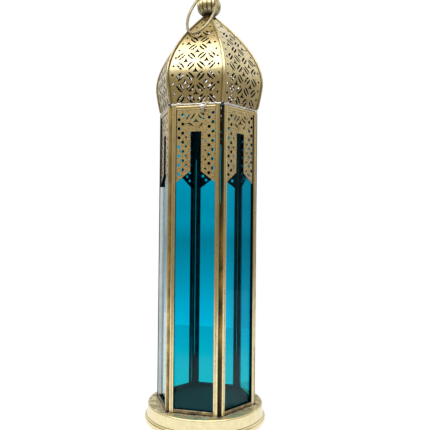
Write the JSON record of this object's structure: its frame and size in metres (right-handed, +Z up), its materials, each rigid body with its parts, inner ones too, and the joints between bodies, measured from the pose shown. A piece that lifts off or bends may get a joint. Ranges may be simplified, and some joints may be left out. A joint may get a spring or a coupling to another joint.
{
  "type": "lantern",
  "caption": "Tall six-sided brass lantern with blue glass, a hinged glazed door, a pierced onion dome, a fluted finial and a swinging hanging ring.",
  "frame": {"origin": "on the floor, under the middle of the round base", "axes": "+Z up along the lantern's axis, -Y out through the middle of the door, +X to the right of someone who faces the door"},
  "size_m": [0.1206, 0.1206, 0.4362],
  "materials": {
    "brass_body": "antique brass with brown speckled patina, rubbed bright on the beads",
    "brass_base": "pale polished brass with small stains",
    "brass_dome": "satin antique brass, lightly speckled",
    "brass_aged": "dull grey-olive aged brass",
    "tinned_solder": "tin solder, lumpy and half bright",
    "steel_wire": "drawn wire",
    "glass_blue": "clear turquoise-blue flat glass"
  },
  "bodies": {
    "lantern": {"base_foot_ring": "brass_base", "base_drum": "brass_base", "frame_right_front": "brass_body", "glass_right_front": "glass_blue", "fret_right_front": "brass_body", "frame_right_rear": "brass_body", "glass_right_rear": "glass_blue", "fret_right_rear": "brass_body", "frame_rear": "brass_body", "glass_rear": "glass_blue", "fret_rear": "brass_body", "frame_left_rear": "brass_body", "glass_left_rear": "glass_blue", "fret_left_rear": "brass_body", "frame_left_front": "brass_body", "glass_left_front": "glass_blue", "fret_left_front": "brass_body", "door_pin_lower": "steel_wire", "door_pin_upper": "steel_wire", "collar": "tinned_solder", "dome_gore_front": "brass_dome", "dome_gore_right_front": "brass_dome", "dome_gore_right_rear": "brass_dome", "dome_gore_rear": "brass_dome", "dome_gore_left_rear": "brass_dome", "dome_gore_left_front": "brass_dome", "dome_rib_front_right": "brass_dome", "dome_rib_right": "brass_dome", "dome_rib_rear_right": "brass_dome", "dome_rib_rear_left": "brass_dome", "dome_rib_left": "brass_dome", "dome_rib_front_left": "brass_dome", "dome_cap": "brass_dome", "finial_knob": "brass_aged", "finial_eye_bolt": "brass_aged", "finial_nut": "brass_aged"},
    "door": {"door_frame": "brass_body", "door_glass": "glass_blue", "door_fret": "brass_body", "turn_button_rivet": "tinned_solder"},
    "button": {"turn_button": "tinned_solder"},
    "ring": {"hanging_ring": "brass_aged"}
  },
  "joints": [
    {"name": "door_swing", "type": "hinge", "parent": "lantern", "child": "door", "pos_m": [-0.02157, -0.04293, 0.162], "axis": [0, 0, -1], "range_deg": [0, 150]},
    {"name": "button_turn", "type": "hinge", "parent": "door", "child": "button", "pos_m": [0.0065, -0.0457, 0.304], "axis": [0, -1, 0], "continuous": true},
    {"name": "ring_swing", "type": "hinge", "parent": "lantern", "child": "ring", "pos_m": [0, 0, 0.43065], "axis": [-0.9848, 0.1736, 0], "range_deg": [0, 285]}
  ]
}
